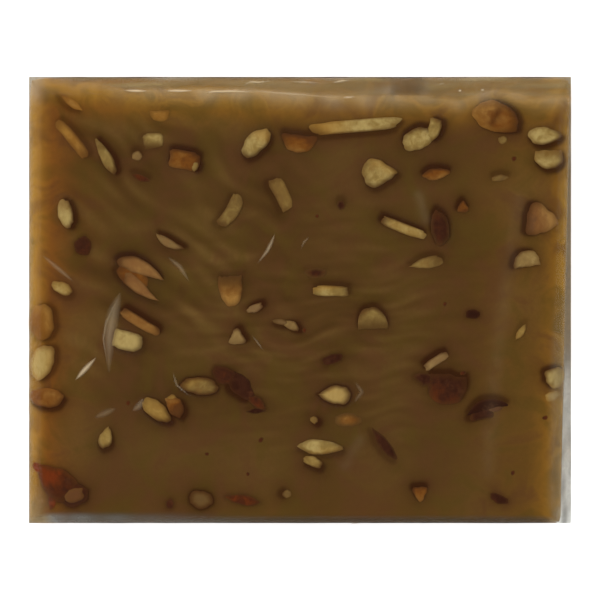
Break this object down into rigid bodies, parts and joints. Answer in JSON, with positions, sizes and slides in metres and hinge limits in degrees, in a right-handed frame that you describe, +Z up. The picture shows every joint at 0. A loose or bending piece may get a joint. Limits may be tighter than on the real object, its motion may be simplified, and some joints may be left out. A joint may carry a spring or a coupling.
{
  "type": "halva slab",
  "caption": "Flat rectangular slab of brown halva with chopped nuts, sealed tightly in clear film with a narrow sealed rim, lying on its flat underside.",
  "frame": {"origin": "on the resting plane, under the middle of the sealed film rim", "axes": "+X along the long side, +Y towards the back long side with the gathered film, +Z up out of the top face"},
  "size_m": [0.15, 0.1234, 0.0228],
  "materials": {
    "halva": "dense translucent brown sweet under clear film, glossy, with golden edges",
    "film": "clear thin wrapping film, glossy, finely creased",
    "blanched_nut": "cream blanched almond, satin, slightly fibrous",
    "toasted_nut": "toasted orange-tan nut, satin",
    "dark_nut": "dark red-brown nut skin, satin and wrinkled"
  },
  "bodies": {
    "root": {"halva_pack": "halva"}
  },
  "joints": []
}
